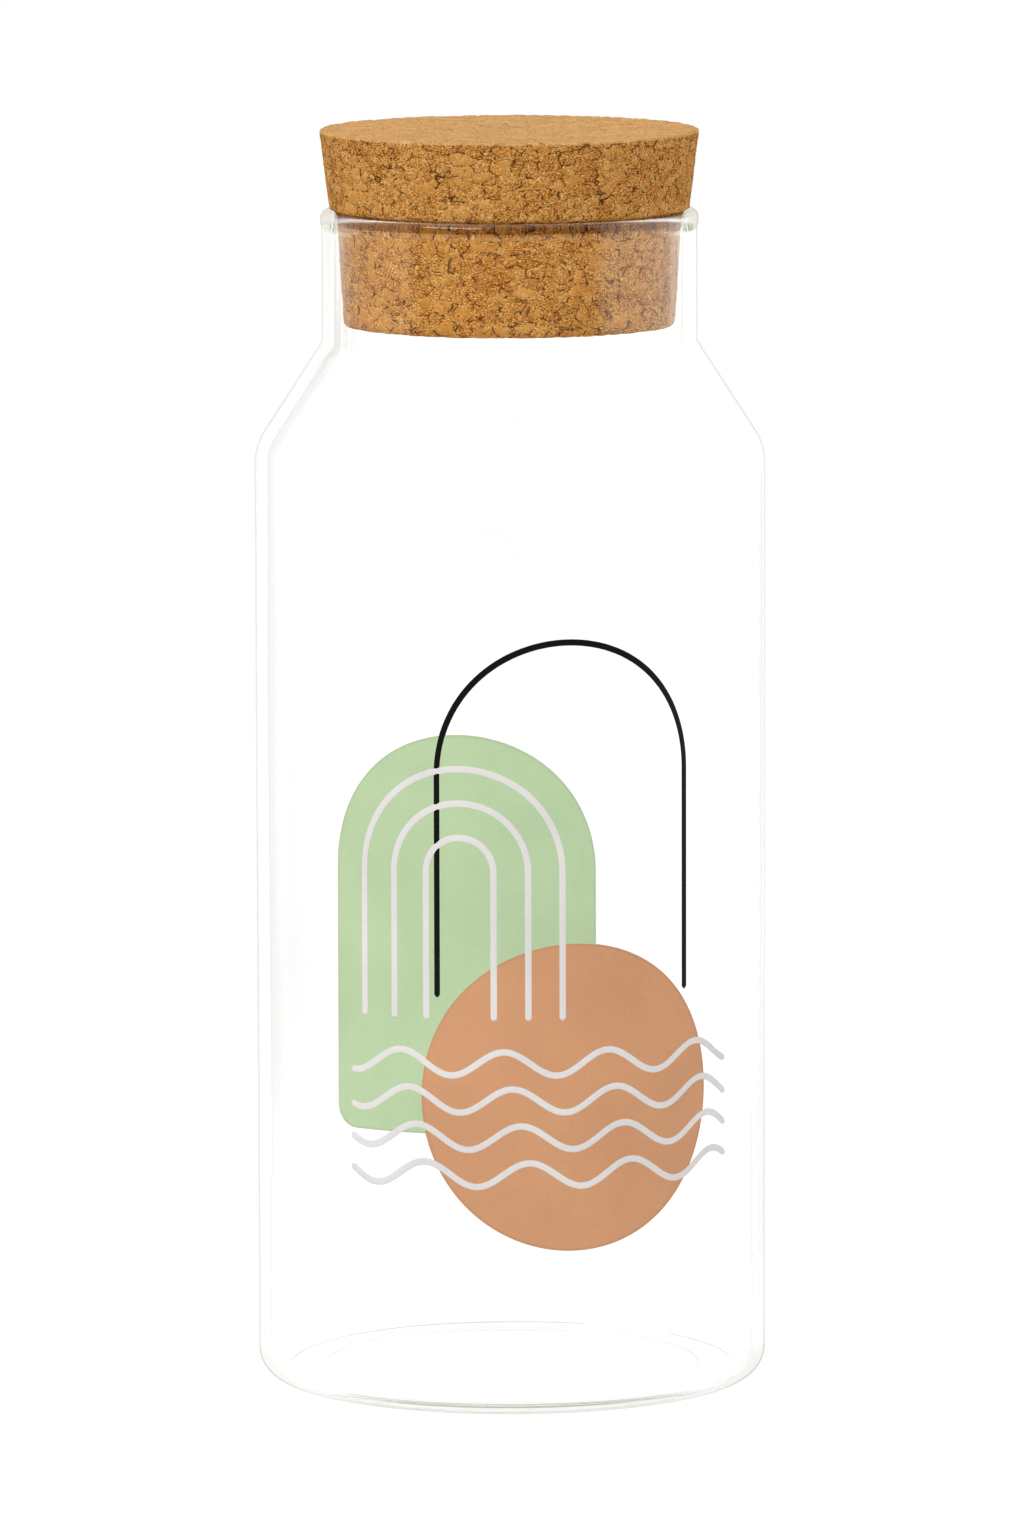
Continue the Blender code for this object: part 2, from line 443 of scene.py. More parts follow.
glass = {
    "inset": 0.00006,                 # leaves room for the enamel inside the CAD box
    "neckRadius": 0.033,
    "shoulderHeight": 0.1658,
    "shoulderAngle": math.radians(33.0),
    "shoulderRound": 0.0105,
    "neckRound": 0.0020,
    "heelRound": 0.0052,
    "wall": 0.0023,
    "floor": 0.0026,
    "floorRound": 0.0030,
    "footRing": 0.033,
    "pushUp": 0.0012,
    "lipProud": 0.0002,
    "lipHeight": 0.0028,
    "lipRamp": 0.0005,
    "around": 400,
    "step": 0.0090,                   # longest step along the straight walls
    "ripple": 0.00003,                # unevenness of the blown inside
    "rippleMargin": 0.004,            # no ripple this close to the foot and the rim
    "rippleFade": 0.010,              # height over which it then sets in
    "outline": (0.83, 0.825, 0.79),   # what is left of the light along the outer outline
    "outlineSlant": (0.855, 0.90),
    "outlineShare": 0.70,
    "coneLine": (0.80, 0.79, 0.75),   # the same along the right side of the cone
    "coneSlant": (0.845, 0.885),
    "coneFoot": (0.150, 0.168),
    "atRight": (0.010, 0.030),        # how far to the right it sets in
    "innerLine": (0.06, 0.050, 0.03),  # and painted shade along the line of the inside of the wall
    "innerSlant": (0.2635, 0.2660),   # 0.2671 is the last slant that lets light out
    "innerHaze": (0.60, 0.580, 0.53),  # faint band of painted shade beside that line
    "hazeSlant": (0.222, 0.267),
    "hazeFoot": (0.020, 0.070),
    "heelSlant": (0.60, 0.70),        # past this the round heel lets all light straight on
    "heelTint": (0.955, 0.952, 0.935),  # painted shade at both sides of the heel
    "heelFront": (0.88, 0.872, 0.845),  # and along its front and back
    "heelAcross": (0.022, 0.037),     # how far sideways the one goes over into the other
    "heelTop": 1.6,                   # height where these end, in heel radii
    "heelLine": (0.28, 0.265, 0.21),  # thin line of painted shade low on the front of the heel
    "heelLineAt": 0.0019,             # its height and half its width
    "heelLineHalf": 0.00028,
    "heelLineAcross": (0.014, 0.030),  # how far sideways it fades, and what is left there
    "heelLineRest": 0.1,
    "sideShade": (0.955, 0.955, 0.950),  # soft shade inside the right outline of the body
    "sideSlant": (0.66, 0.82),
    "sideShare": 0.95,
    "sideFoot": (0.008, 0.030),
    "sideTop": (0.160, 0.172),
    "lipTint": (0.89, 0.87, 0.82),    # painted shade on the round lip
    "lipSlant": (0.40, 0.75),
    "lipShare": 0.92,
    "lipFoot": (0.0036, 0.0030),      # depth below the rim, as the next two
    "streakFoot": (0.036, 0.020),
    "streakTop": (0.004, 0.003),
    "neckStreak": (0.78, 0.735, 0.65),  # painted refraction: upright streaks of the cork's colour in the neck
    "rightStreak": (0.55, 0.520, 0.46),  # painted the same, darker where the brighter room stands behind them
    "streakSlant": (0.30, 0.62),
    "streakWidth": 0.0016,
    "streakStretch": 0.04,            # their width against their length
    "streakMask": (0.40, 0.62),
    "rings": (0.0330, 0.0395),        # radii of the foot ring's bends, where faint rings of painted shade stand for what the base refracts
    "ringHalf": 0.0005,
    "ringTop": (0.0010, 0.0014),
    "ringTint": (0.12, 0.105, 0.08),
    "ringFront": 0.35,                # how much of it is left at the front
    "lineCore": 0.3,                  # share of a line's or ring's width that is full
    "middle": (-0.010, 0.010),        # where left goes over into right and front into back
    "longestPath": 24,                # light turned more often in the glass leaves it
    "shadowTint": (1.0, 1.0, 1.0),
    "shadowEdge": (0.90, 0.905, 0.90),
    "shadowSlant": (0.3, 1.0),
}
bodyRadius = glassHigh[0]
rimHeight = glassHigh[2]
boreRadius = glass["neckRadius"] - glass["wall"]
lipRound = 0.5 * (glass["wall"] + glass["lipProud"])
beadCentre = (boreRadius + lipRound, rimHeight - lipRound)


def domePoints(radius, edgeHeight, rise, count=12):
    # Shallow arc from the axis out to the radius, rise higher at the axis than at its edge
    sphere = (radius**2 + rise**2) / (2 * rise)
    spread = math.asin(radius / sphere)
    turn = np.linspace(0.0, spread, count + 1)[1:]
    return np.column_stack([sphere * np.sin(turn), edgeHeight + rise - sphere + sphere * np.cos(turn)])


def glassSection():
    # Half section from the axis along the inside, over the lip, down the outside and back below
    wall, floor, ring = glass["wall"], glass["floor"], glass["footRing"]
    neckRadius, shoulder = glass["neckRadius"], glass["shoulderHeight"]
    neckRound, shoulderRound = glass["neckRound"], glass["shoulderRound"]
    outerRadius = bodyRadius - glass["inset"]
    insideRadius = bodyRadius - wall
    neckFoot = shoulder + (bodyRadius - neckRadius) / math.tan(glass["shoulderAngle"])
    drop = wall * math.tan(glass["shoulderAngle"] / 2)
    beadFoot = rimHeight - glass["lipHeight"]
    bead = (neckRadius + glass["lipProud"], beadFoot + glass["lipRamp"])
    inside = [
        domePoints(ring, floor, glass["pushUp"]),
        roundCorners(
            [(ring, floor), (insideRadius, floor), (insideRadius, shoulder - drop),
             (boreRadius, neckFoot - drop), (boreRadius, rimHeight - lipRound)],
            [(glass["floorRound"], 24), (shoulderRound - wall, 14), (neckRound + wall, 14)]),
    ]
    outside = [
        arcPoints(beadCentre, lipRound, math.pi, 0.0, 28),
        evenSteps(np.array([bead, (neckRadius, beadFoot)]), 0.0002),
        roundCorners(
            [(neckRadius, beadFoot), (neckRadius, neckFoot), (outerRadius, shoulder), (outerRadius, 0.0),
             (ring, 0.0)],
            [(neckRound, 14), (shoulderRound, 20), (glass["heelRound"], 40)]),
        domePoints(ring, 0.0, glass["pushUp"])[::-1],
    ]
    return [fillStraights(np.vstack(half), glass["step"]) for half in (inside, outside)]


def ripple(turn, height):
    # Sum of slow waves round and up the wall, between -1 and 1: cos(m t + k z + p) / count
    rng = np.random.default_rng(11)
    waves = [(2, 30.0), (3, 75.0), (5, 40.0), (7, 120.0), (11, 60.0)]
    phases = rng.uniform(0.0, 2 * math.pi, len(waves))
    parts = [np.cos(count * turn + rate * height + phase) for (count, rate), phase in zip(waves, phases)]
    return sum(parts) / len(waves)


def makeGlass():
    # The half section goes round the axis. The inside is pushed outwards by the ripple.
    inner, outer = (turnSection(half, glass["around"]) for half in glassSection())
    turn = np.arctan2(inner[..., 1], inner[..., 0])
    height = inner[..., 2]
    fade = 1.0
    for depth in (rimHeight - height, height):
        fade = fade * np.clip((depth - glass["rippleMargin"]) / glass["rippleFade"], 0.0, 1.0)
    push = glass["ripple"] * fade * ripple(turn, height)
    inner[..., 0] += push * np.cos(turn)
    inner[..., 1] += push * np.sin(turn)
    poles = [(0, 0, glass["floor"] + glass["pushUp"]), (0, 0, glass["pushUp"])]
    mesh = gridMesh("clear_glass_bottle", np.vstack([inner, outer]), poles)
    outside = np.repeat([0.0, 1.0, 0.0, 1.0], [inner[..., 0].size, outer[..., 0].size, 1, 1])
    mesh.attributes.new("outside", "FLOAT", "POINT").data.foreach_set("value", outside)
    piece = makeObject("clear_glass_bottle", mesh, glassMaterial(), "bottle")
    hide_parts("glass_bottle")


def belowRim(depths):
    return [rimHeight - depth for depth in depths]


def lineNode(tree, value, middle, half):
    # 1 along a line at the middle value, and 0 from half its width on
    away = absolute(tree, mathNode(tree, "SUBTRACT", value, middle))
    return rangeNode(tree, away, glass["lineCore"] * half, half, 1.0, 0.0)


def refractedTint(tree, place, slant, outside):
    # Painted shade and refraction on white: a line and a haze where light leaving the wall inwards
    # grazes the inside, streaks in the neck, two rings below the foot and a thin line low on the heel's
    # front
    x, y, z = splitNode(tree, place)
    leaving = tree.nodes.new("ShaderNodeNewGeometry").outputs["Backfacing"]
    leaving = product(tree, leaving, oneMinus(tree, outside))
    # Painted shade: a line and a faint haze where light leaving the wall inwards grazes the inside
    haze = product(tree, rangeNode(tree, slant, *glass["hazeSlant"]), leaving,
                   rangeNode(tree, z, *glass["hazeFoot"]))
    tint = mixColour(tree, haze, (1, 1, 1), glass["innerHaze"])
    line = product(tree, rangeNode(tree, slant, *glass["innerSlant"]), leaving)
    tint = mixColour(tree, line, tint, glass["innerLine"])

    # Painted refraction: streaks of the cork's colour on the neck, as the glass would show them
    upright = vectorNode(tree, "MULTIPLY", place, (1.0, 1.0, glass["streakStretch"]))
    streaks = noiseNode(tree, upright, glass["streakWidth"], 2.0, 0.6)
    onNeck = bandNode(tree, z, belowRim(glass["streakFoot"]), belowRim(glass["streakTop"]))
    streaks = product(tree, rangeNode(tree, streaks, *glass["streakMask"]),
                      rangeNode(tree, slant, *glass["streakSlant"]), onNeck, outside)
    toRight = rangeNode(tree, x, *glass["middle"])
    streak = mixColour(tree, toRight, glass["neckStreak"], glass["rightStreak"])
    tint = mixColour(tree, streaks, tint, streak, "MULTIPLY")

    # Painted shade: two faint rings under the foot, darker behind than in front
    reach = vectorNode(tree, "LENGTH", vectorNode(tree, "MULTIPLY", place, (1.0, 1.0, 0.0)))
    below = rangeNode(tree, z, *glass["ringTop"], 1.0, 0.0)
    behind = rangeNode(tree, y, *glass["middle"], glass["ringFront"], 1.0)
    for radius in glass["rings"]:
        ring = product(tree, lineNode(tree, reach, radius, glass["ringHalf"]), below, outside, behind)
        tint = mixColour(tree, ring, tint, glass["ringTint"])
    # Painted shade: a thin line low on the heel's front, fading towards the sides
    ends = rangeNode(tree, absolute(tree, x), *glass["heelLineAcross"], 1.0, glass["heelLineRest"])
    line = product(tree, lineNode(tree, z, glass["heelLineAt"], glass["heelLineHalf"]), ends,
                   rangeNode(tree, y, *glass["middle"], 1.0, 0.0), outside)
    return mixColour(tree, line, tint, glass["heelLine"])


def straightLight(tree, place, slant, outside):
    # Share of the light that passes straight on through the outside, and its tint, which is painted
    # shade: along the outline, the right side of the cone and body, the lip and the heel
    x, y, z = splitNode(tree, place)
    atRight = rangeNode(tree, x, *glass["atRight"])
    onHeel = rangeNode(tree, z, glass["heelRound"], glass["heelTop"] * glass["heelRound"], 1.0, 0.0)
    onLip = rangeNode(tree, z, *belowRim(glass["lipFoot"]))
    onCone = product(tree, atRight, rangeNode(tree, z, *glass["coneFoot"]))
    onSide = product(tree, atRight, bandNode(tree, z, glass["sideFoot"], glass["sideTop"]))
    coneLine = product(tree, rangeNode(tree, slant, *glass["coneSlant"]), onCone)
    outline = mathNode(tree, "MAXIMUM", rangeNode(tree, slant, *glass["outlineSlant"]), coneLine)
    lipEdge = rangeNode(tree, slant, *glass["lipSlant"], 0.0, glass["lipShare"])
    sideEdge = rangeNode(tree, slant, *glass["sideSlant"], 0.0, glass["sideShare"])
    share = mathNode(tree, "MAXIMUM",
                     product(tree, outline, glass["outlineShare"]),
                     product(tree, rangeNode(tree, slant, *glass["heelSlant"]), onHeel),
                     product(tree, lipEdge, onLip),
                     product(tree, sideEdge, onSide, oneMinus(tree, outline)))
    atSides = rangeNode(tree, absolute(tree, x), *glass["heelAcross"])
    tint = mixColour(tree, atSides, glass["heelFront"], glass["heelTint"])
    tint = mixColour(tree, onLip, tint, glass["lipTint"])
    tint = mixColour(tree, onSide, tint, glass["sideShade"])
    line = mixColour(tree, onCone, glass["outline"], glass["coneLine"])
    return product(tree, share, outside), mixColour(tree, outline, tint, line)


def glassMaterial():
    # Clear where it is seen square on. At a grazing angle it gets painted shade: there refracted
    # light is tinted, and a share of the light passes straight on with a tint of its own.
    # Light on its way to or from other surfaces passes straight through, dimmed most at the edges.
    material, tree, shader, output = newMaterial("Clear borosilicate glass")
    slant = addNode(tree, "ShaderNodeLayerWeight", {"Blend": 0.5}).outputs["Facing"]
    outside = attributeNode(tree, "outside")
    place = objectPlace(tree)
    refracted = refractedTint(tree, place, slant, outside)
    feedAll(tree, shader, {"IOR": 1.47, "Roughness": 0.0, "Transmission Weight": 1.0,
                           "Base Color": refracted})
    path = tree.nodes.new("ShaderNodeLightPath").outputs
    passing = mathNode(tree, "MAXIMUM", path["Is Shadow Ray"], path["Is Diffuse Ray"])
    trapped = mathNode(tree, "GREATER_THAN", path["Ray Depth"], glass["longestPath"])
    share, tint = straightLight(tree, place, slant, outside)
    edge = rangeNode(tree, slant, *glass["shadowSlant"])
    shade = mixColour(tree, edge, glass["shadowTint"], glass["shadowEdge"])
    clear = addNode(tree, "ShaderNodeBsdfTransparent", {"Color": mixColour(tree, passing, tint, shade)})
    mix = mixShaders(tree, mathNode(tree, "MAXIMUM", passing, share, trapped), shader, clear)
    feed(tree, output.inputs["Surface"], mix.outputs[0])
    return material


# Cork stopper

cork = {
    "topOversize": 0.00275,           # radius at the top, past the bore's
    "footUndersize": 0.0016,          # radius at the foot, short of the bore's
    "topEdge": 0.0004,
    "footEdge": 0.0011,
    "clearance": 0.0003,              # between the squeezed cork and the glass
    "around": 520,
    "step": 0.00042,
    "faceStep": 0.0008,
    "crackDepth": 0.00012,
    "lumpDepth": 0.00016,
    "lumpTone": 0.6,                  # share of a lump's height that goes with its tone
    "flatten": 1.60,                  # how much wider than tall the pressed granules are
    "swirl": 0.0020,                  # width of the bends of their seams
    "warp": 0.0012,                   # and how far these reach
    "bigGranule": 0.0033,
    "smallGranule": 0.0016,
    "bigTone": 0.6,                   # share of the big granules in the tone
    "smallPatch": 0.006,              # size of the areas where small granules show
    "smallMask": (0.45, 0.56),
    "openPatch": 0.0013,              # and of those where the seams stand open
    "openMask": (0.47, 0.60),
    "bigCrack": (0.01, 0.11),         # distances from a seam in mm, as the next four
    "smallCrack": (0.005, 0.06),
    "domeReach": 0.7,
    "haloReach": 0.38,
    "smoothReach": (0.15, 0.40),
    "smoothTone": (0.70, 0.80),       # big granules past this tone are smooth
    "smoothCalm": 0.6,                # how much less of grain, flecks and seams these have
    "grain": 0.00032,
    "patch": 0.0020,
    "fleck": 0.00048,
    "fleckMask": (0.57, 0.66),
    "toneWeight": 0.30,               # weights of the granules, patches and grain in the shade
    "patchWeight": 0.42,
    "grainWeight": 2.8,
    "middleShade": 0.46,
    "shades": [
        (0.00, (0.09, 0.015, 0.001)),
        (0.20, (0.26, 0.068, 0.008)),
        (0.40, (0.45, 0.168, 0.028)),
        (0.55, (0.55, 0.225, 0.044)),
        (0.70, (0.64, 0.290, 0.068)),
        (0.85, (0.75, 0.425, 0.135)),
        (1.00, (0.86, 0.570, 0.230)),
    ],
    "halo": (0.28, (0.27, 0.075, 0.009)),  # share and colour of what darkens the cork
    "flecks": (0.36, (0.15, 0.034, 0.004)),
    "cracks": (1.0, (0.105, 0.022, 0.002)),
    "sandedAndSheen": (0.45, (0.74, 0.46, 0.21)),  # and of the painted sheen that makes the sanded top paler
    "sandedDepth": (0.00070, 0.00040),  # depths below the top where that ends and is full
    "sandedCalm": 0.6,
    "lipShadeBand": (0.0018, 0.0003),  # below and above the rim: painted shade on the cork where the lip covers it
    "lipShadeSoft": 0.0002,
    "lipShadeTint": (0.52, 0.40, 0.22),
    "neckTint": (1.12, 1.08, 0.95),   # painted light: the cork below the rim is a little lighter and redder, making up for light that the glass holds back
    "neckDepth": (0.0030, 0.0020),
    "gloss": 0.02,
    "roughness": (0.62, 0.85),
    "grainBump": 0.5,                 # against the depth of a seam, as the next one
    "domeBump": 0.35,
    "bump": 0.0004,
}


def corkSection():
    # The cork pushed home: its own taper above the lip and low in the neck, squeezed between
    footHeight = corkLow[2]
    topHeight = corkHigh[2]
    footRadius = boreRadius - cork["footUndersize"]
    topRadius = boreRadius + cork["topOversize"]
    slope = (topRadius - footRadius) / (topHeight - footHeight)
    squeezed = boreRadius - cork["clearance"]
    squeezedFrom = footHeight + (squeezed - footRadius) / slope
    follow = lipRound + cork["clearance"]
    inset = footRadius + slope * (beadCentre[1] - footHeight) - beadCentre[0]
    square = 1.0 + slope**2
    rise = (math.sqrt(square * follow**2 - inset**2) - inset * slope) / square
    overLip = arcPoints(beadCentre, follow, math.atan2(rise, inset + slope * rise), math.pi, 12)
    middleTop = (0.0, topHeight)
    middleFoot = (0.0, footHeight)
    side = np.vstack([
        roundCorner(middleTop, (topRadius, topHeight), overLip[0], cork["topEdge"], 5),
        overLip,
        roundCorner((squeezed, squeezedFrom), (footRadius, footHeight), middleFoot, cork["footEdge"], 8),
    ])
    side = evenSteps(side, cork["step"])
    top = evenSteps(np.array([middleTop, side[0]]), cork["faceStep"])[1:-1]
    foot = evenSteps(np.array([side[-1], middleFoot]), cork["faceStep"])[1:-1]
    return np.vstack([top, side, foot])


def corkPattern(tree, place):
    # Granules of two sizes pressed together, with their seams open in places.
    # The same nodes serve the material and, in a geometry tree, the relief of the mesh.
    flat = vectorNode(tree, "MULTIPLY", place, (1.0, 1.0, cork["flatten"]))
    swirl = noiseNode(tree, flat, cork["swirl"], 4.0, 0.6, "Color")
    warped = vectorNode(tree, "MULTIPLY_ADD", swirl, (cork["warp"],) * 3, flat)
    smallMask = rangeNode(tree, noiseNode(tree, place, cork["smallPatch"], 1.0), *cork["smallMask"])
    openMask = rangeNode(tree, noiseNode(tree, place, cork["openPatch"], 2.0, 0.6), *cork["openMask"])
    tones = []
    seams = []
    for width in (cork["bigGranule"], cork["smallGranule"]):
        tones.append(splitNode(tree, cellNode(tree, warped, width, "F1")["Color"])[0])
        seam = cellNode(tree, warped, width, "DISTANCE_TO_EDGE")["Distance"]
        seams.append(product(tree, seam, width * 1000.0))
    bigCrack = rangeNode(tree, seams[0], *cork["bigCrack"], 1.0, 0.0)
    smallCrack = product(tree, rangeNode(tree, seams[1], *cork["smallCrack"], 1.0, 0.0), smallMask)
    halo = rangeNode(tree, seams[0], 0.0, cork["haloReach"], 1.0, 0.0)
    return {
        "crack": product(tree, mathNode(tree, "MAXIMUM", bigCrack, smallCrack), openMask),
        "tone": mathNode(tree, "ADD", product(tree, tones[0], cork["bigTone"]),
                         product(tree, tones[1], 1.0 - cork["bigTone"])),
        "dome": rangeNode(tree, seams[0], 0.0, cork["domeReach"]),
        "halo": product(tree, halo, openMask),
        "smooth": product(tree, rangeNode(tree, tones[0], *cork["smoothTone"]),
                          rangeNode(tree, seams[0], *cork["smoothReach"])),
    }


def readPattern(points, pattern):
    # Value of each output of the pattern at each point, worked out by a geometry node tree
    tree = bpy.data.node_groups.new("Pattern reader", "GeometryNodeTree")
    for way in ("INPUT", "OUTPUT"):
        tree.interface.new_socket("Geometry", in_out=way, socket_type="NodeSocketGeometry")
    geometry = tree.nodes.new("NodeGroupInput").outputs[0]
    place = tree.nodes.new("GeometryNodeInputPosition").outputs[0]
    sockets = pattern(tree, place)
    for name, socket in sockets.items():
        store = tree.nodes.new("GeometryNodeStoreNamedAttribute")
        store.data_type = "FLOAT"
        geometry = feedAll(tree, store, {"Name": name, "Geometry": geometry, "Value": socket}).outputs[0]
    addNode(tree, "NodeGroupOutput", {0: geometry})
    mesh = bpy.data.meshes.new("pattern_reader")
    mesh.from_pydata(points, [], [])
    reader = bpy.data.objects.new("pattern_reader", mesh)
    bpy.context.scene.collection.objects.link(reader)
    reader.modifiers.new("Read", "NODES").node_group = tree
    evaluated = reader.evaluated_get(bpy.context.evaluated_depsgraph_get()).data
    values = {}
    for name in sockets:
        values[name] = np.empty(len(points), np.float32)
        evaluated.attributes[name].data.foreach_get("value", values[name])
    bpy.data.objects.remove(reader)
    bpy.data.meshes.remove(mesh)
    bpy.data.node_groups.remove(tree)
    return values


def makeCork():
    # The section goes round the axis, and each point is sunk along the section's outward normal,
    # its direction (dr, dz) turned to (-dz, dr): by the crack and by what its lump lacks in height.
    section = corkSection()
    grid = turnSection(section, cork["around"])
    ahead = unit(np.gradient(section, axis=0))
    outward = turnSection(np.column_stack([-ahead[:, 1], ahead[:, 0]]), cork["around"])
    values = readPattern(grid.reshape(-1, 3), corkPattern)
    crack, tone, dome = (values[name].reshape(*grid.shape[:2], 1) for name in ("crack", "tone", "dome"))
    lump = dome * (1.0 - cork["lumpTone"] + cork["lumpTone"] * tone)
    grid = grid - outward * (cork["crackDepth"] * crack + cork["lumpDepth"] * (1.0 - lump))
    poles = [(0, 0, corkHigh[2] - cork["lumpDepth"]), (0, 0, corkLow[2] + cork["lumpDepth"])]
    mesh = gridMesh("pressed_cork_stopper", grid, poles)
    piece = makeObject("pressed_cork_stopper", mesh, corkMaterial(), "stopper")
    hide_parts("cork_stopper")


def corkMaterial():
    # The shade is a weighted sum of the granule's tone, its soft patches and the fine grain, which
    # is faint on the smooth granules. Seams, their halo and flecks darken it. The top is sanded, and
    # painted sheen makes it paler, as if lit from above.
    material, tree, shader, output = newMaterial("Pressed cork")
    place = objectPlace(tree)
    z = splitNode(tree, place)["Z"]
    pattern = corkPattern(tree, place)
    wide = vectorNode(tree, "MULTIPLY", place, (1.0, 1.0, cork["flatten"]))
    grain = noiseNode(tree, wide, cork["grain"], 2.0, 0.70)
    patches = noiseNode(tree, place, cork["patch"], 3.0, 0.65)
    flecks = rangeNode(tree, noiseNode(tree, wide, cork["fleck"], 2.0, 0.65), *cork["fleckMask"])
    calm = oneMinus(tree, product(tree, pattern["smooth"], cork["smoothCalm"]))
    shade = product(tree, pattern["tone"], cork["toneWeight"])
    for part, weight in ((patches, cork["patchWeight"]), (grain, cork["grainWeight"])):
        spread = product(tree, mathNode(tree, "SUBTRACT", part, 0.5), weight, calm)
        shade = mathNode(tree, "ADD", shade, spread)
    colour = rampNode(tree, mathNode(tree, "ADD", shade, cork["middleShade"]), cork["shades"])
    sandedAndSheen = rangeNode(tree, z, *(corkHigh[2] - depth for depth in cork["sandedDepth"]))
    rough = oneMinus(tree, product(tree, sandedAndSheen, cork["sandedCalm"]))
    for name, mask in (("halo", pattern["halo"]), ("flecks", flecks), ("cracks", pattern["crack"])):
        share, dark = cork[name]
        colour = mixColour(tree, product(tree, mask, share, rough, calm), colour, dark)
    # Painted sheen: the sanded top is mixed towards a paler colour that stands in for light from above
    share, pale = cork["sandedAndSheen"]
    colour = mixColour(tree, product(tree, sandedAndSheen, share), colour, pale)
    # Painted light on the cork inside the neck
    inNeck = rangeNode(tree, z, *belowRim(cork["neckDepth"]), 1.0, 0.0)
    colour = mixColour(tree, inNeck, colour, cork["neckTint"], "MULTIPLY")
    # Painted shade: the band of cork that the lip presses and covers is darkened as if in the lip's
    # shade
    below, above = cork["lipShadeBand"]
    pressed = bandNode(tree, z, belowRim((below + cork["lipShadeSoft"], below)), belowRim((0.0, -above)))
    colour = mixColour(tree, pressed, colour, cork["lipShadeTint"], "MULTIPLY")
    height = mathNode(tree, "SUBTRACT", product(tree, grain, cork["grainBump"]), pattern["crack"])
    height = mathNode(tree, "ADD", height, product(tree, pattern["dome"], cork["domeBump"]))
    feedAll(tree, shader, {
        "Base Color": colour,
        "Specular IOR Level": cork["gloss"],
        "Roughness": rangeNode(tree, grain, 0.3, 0.7, *cork["roughness"]),
        "Normal": bumpNode(tree, product(tree, height, rough), cork["bump"]),
    })
    return material


# Print in fired enamel on the front of the body

enamel = {
    "roundEdge": 0.00025,
    "edgeLine": 0.0006,               # width of the darker line along the edge of a fill
    "edgeShade": 0.10,
    "gloss": 0.15,
    "step": 0.0009,
    "cloud": 0.016,                   # width and light of the slow clouds in the colour
    "cloudLight": (0.955, 1.03),
    "speck": 0.0007,                  # and of the fine speckle
    "speckLight": (1.0, 0.97),
    "roughness": (0.34, 0.5),
    "bump": 0.00001,
    # lift is how far a coat stands out of the glass, sink how far it reaches in, fused to it
    "green": {"lift": 0.000018, "sink": 0.000020, "colour": (0.515, 0.665, 0.397)},
    "terracotta": {"lift": 0.000028, "sink": 0.000014, "colour": (0.680, 0.342, 0.178)},
    "black": {"lift": 0.000040, "sink": 0.000009, "colour": (0.006, 0.005, 0.005), "width": 0.0011},
    "white": {"lift": 0.000052, "sink": 0.000005, "colour": (0.80, 0.775, 0.76), "width": 0.0012},
    "archCentre": -0.0090,
    "archHalfWidth": 0.0240,
    "archFoot": 0.0500,
    "archSpring": 0.0960,
    "archCorner": 0.0040,
    "discCentre": (0.0110, 0.0565),
    "discRadius": 0.0270,
    "lineArch": (0.0100, 0.0230, 0.0740, 0.1130),  # centre, half width, foot and spring
    "rainbowInsets": (0.0060, 0.0120, 0.0180),
    "rainbowFoot": 0.0700,
    "waveHeights": (0.0430, 0.0495, 0.0560, 0.0625),
    "waveShift": 0.5,                 # of each wave against the one below it, in radians
    "waveFrom": -0.0300,
    "waveTo": 0.0440,
    "waveRise": 0.0021,
    "waveLength": 0.0185,
}


def onGlass(across, up, lift):
    # (r sin a, -r cos a, z) with a = across / r: a flat design wrapped round the front of the body
    radius = bodyRadius - glass["inset"]
    turn = across / radius
    return np.stack([(radius + lift) * np.sin(turn), -(radius + lift) * np.cos(turn), up], axis=-1)


def fillGrid(outline, coat):
    # Rings c + q (b - c) from the middle c out to the outline b, q from 0 to 1, then back beneath.
    # At the outline the coat thins as a quarter circle.
    lift, sink = coat["lift"], coat["sink"]
    middle = outline.mean(axis=0)
    reach = np.linalg.norm(outline - middle, axis=1).max()
    lineShare = 1.0 - enamel["edgeLine"] / reach
    share = np.linspace(0.0, lineShare, math.ceil(reach / enamel["step"]))[1:]
    share = np.append(share, 1.0 - enamel["roundEdge"] / reach)
    bend = np.linspace(0.0, math.pi / 2, 5)[1:]
    edgeShare = share[-1] + (1.0 - share[-1]) * np.sin(bend)
    edgeLift = -sink + (lift + sink) * np.cos(bend)
    shares = np.concatenate([share, edgeShare, share[::-1]])
    lifts = np.concatenate([np.full(len(share), lift), edgeLift, np.full(len(share), -sink)])
    flat = middle + shares[:, None, None] * (outline - middle)
    grid = onGlass(flat[..., 0], flat[..., 1], lifts[:, None])
    poles = [onGlass(*middle, height) for height in (lift, -sink)]
    edge = (shares > lineShare + 1e-9).astype(float)
    return grid, poles, np.append(np.repeat(edge, len(outline)), [0.0, 0.0])


